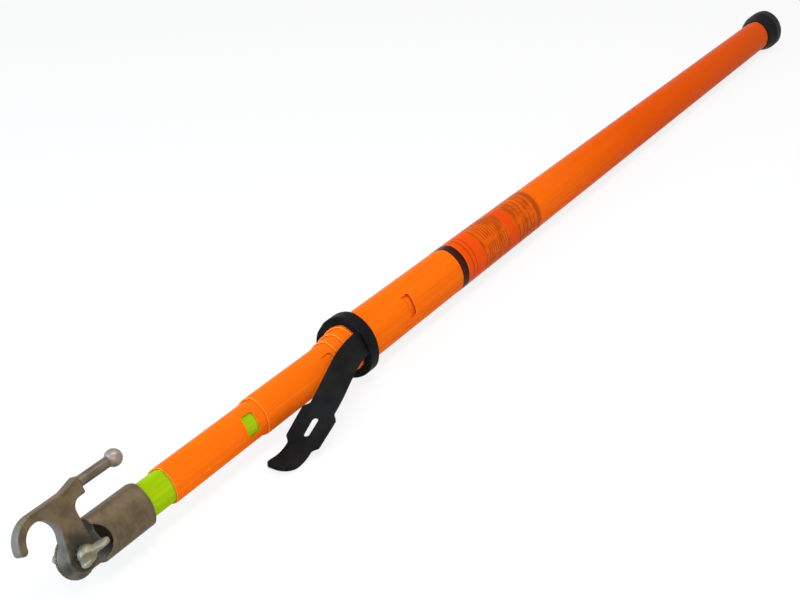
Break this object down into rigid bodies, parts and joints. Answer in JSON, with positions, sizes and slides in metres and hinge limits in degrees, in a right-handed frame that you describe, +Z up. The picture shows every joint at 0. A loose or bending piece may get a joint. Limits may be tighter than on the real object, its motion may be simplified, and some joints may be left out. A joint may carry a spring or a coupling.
{
  "type": "telescoping hot stick",
  "caption": "Telescoping insulated pole of nested rounded-triangle tubes with button locks, rubber collar, strap and butt cap, and a swinging disconnect hook with pull pin at its tip.",
  "frame": {"origin": "middle of the butt cap's end face, on the stick's axis", "axes": "+X along the stick from the butt to the hook, +Z up with the stick lying on one flat of its section, +Y to the side that the lock buttons face"},
  "size_m": [1.802, 0.0916, 0.0771],
  "materials": {
    "orange_fibreglass": "glossy",
    "lime_fibreglass": "glossy",
    "black_rubber": "matte",
    "label_film": "satin",
    "band_film": "satin",
    "cast_bronze": "cast",
    "plated_steel": "plated",
    "nylon": "matte",
    "button_nylon": "satin",
    "spring_steel": "bright"
  },
  "bodies": {
    "base": {"base_tube": "orange_fibreglass", "butt_cap": "black_rubber", "collar_ring": "black_rubber", "hold_strap": "black_rubber", "label_wrap": "label_film", "index_band": "band_film"},
    "section_2": {"section_tube_2": "orange_fibreglass", "button_plug_2": "nylon", "button_spring_2": "spring_steel"},
    "section_3": {"section_tube_3": "orange_fibreglass", "button_plug_3": "nylon", "button_spring_3": "spring_steel"},
    "section_4": {"section_tube_4": "orange_fibreglass", "button_plug_4": "nylon", "button_spring_4": "spring_steel"},
    "section_5": {"section_tube_5": "orange_fibreglass", "button_plug_5": "nylon", "button_spring_5": "spring_steel"},
    "section_6": {"section_tube_6": "orange_fibreglass", "button_plug_6": "nylon", "button_spring_6": "spring_steel"},
    "tip": {"tip_tube": "lime_fibreglass", "button_plug_7": "nylon", "button_spring_7": "spring_steel", "spline_ferrule": "cast_bronze"},
    "button_2": {"lock_button_2": "button_nylon"},
    "button_3": {"lock_button_3": "button_nylon"},
    "button_4": {"lock_button_4": "button_nylon"},
    "button_5": {"lock_button_5": "button_nylon"},
    "button_6": {"lock_button_6": "button_nylon"},
    "button_7": {"lock_button_7": "button_nylon"},
    "hook": {"hook_casting": "cast_bronze", "pull_pin": "cast_bronze"},
    "wing": {"wing_bolt": "plated_steel", "lock_washer": "plated_steel"}
  },
  "joints": [
    {"name": "section_2_slide", "type": "slide", "parent": "base", "child": "section_2", "axis": [1, 0, 0], "range_m": [0, 1.269]},
    {"name": "section_3_slide", "type": "slide", "parent": "section_2", "child": "section_3", "axis": [1, 0, 0], "range_m": [0, 1.221]},
    {"name": "section_4_slide", "type": "slide", "parent": "section_3", "child": "section_4", "axis": [1, 0, 0], "range_m": [0, 1.192]},
    {"name": "section_5_slide", "type": "slide", "parent": "section_4", "child": "section_5", "axis": [1, 0, 0], "range_m": [-0.0995, 1.0635]},
    {"name": "section_6_slide", "type": "slide", "parent": "section_5", "child": "section_6", "axis": [1, 0, 0], "range_m": [-0.105, 1.029]},
    {"name": "tip_slide", "type": "slide", "parent": "section_6", "child": "tip", "axis": [1, 0, 0], "range_m": [-0.014, 1.091]},
    {"name": "button_2_press", "type": "slide", "parent": "section_2", "child": "button_2", "axis": [0, 0.866, 0.5], "range_m": [-0.0018, 0], "stiffness_N_per_m": 400, "springref_m": 0.0004, "deforming": ["button_spring_2"]},
    {"name": "button_3_press", "type": "slide", "parent": "section_3", "child": "button_3", "axis": [0, 0.866, 0.5], "range_m": [-0.0018, 0], "stiffness_N_per_m": 400, "springref_m": 0.0004, "deforming": ["button_spring_3"]},
    {"name": "button_4_press", "type": "slide", "parent": "section_4", "child": "button_4", "axis": [0, 0.866, 0.5], "range_m": [-0.0018, 0], "stiffness_N_per_m": 400, "springref_m": 0.0004, "deforming": ["button_spring_4"]},
    {"name": "button_5_press", "type": "slide", "parent": "section_5", "child": "button_5", "axis": [0, 0.866, 0.5], "range_m": [-0.0018, 0], "stiffness_N_per_m": 400, "springref_m": 0.0004, "deforming": ["button_spring_5"]},
    {"name": "button_6_press", "type": "slide", "parent": "section_6", "child": "button_6", "axis": [0, 0.866, 0.5], "range_m": [-0.0018, 0], "stiffness_N_per_m": 400, "springref_m": 0.0004, "deforming": ["button_spring_6"]},
    {"name": "button_7_press", "type": "slide", "parent": "tip", "child": "button_7", "axis": [0, 0.866, 0.5], "range_m": [-0.0018, 0], "stiffness_N_per_m": 400, "springref_m": 0.0004, "deforming": ["button_spring_7"]},
    {"name": "hook_swing", "type": "hinge", "parent": "tip", "child": "hook", "pos_m": [1.7587, 0.00135, -0.00234], "axis": [0, 0.866, 0.5], "range_deg": [-6, 180]},
    {"name": "wing_turn", "type": "hinge", "parent": "tip", "child": "wing", "pos_m": [1.7587, 0.00135, -0.00234], "axis": [0, 0.866, 0.5], "continuous": true}
  ]
}
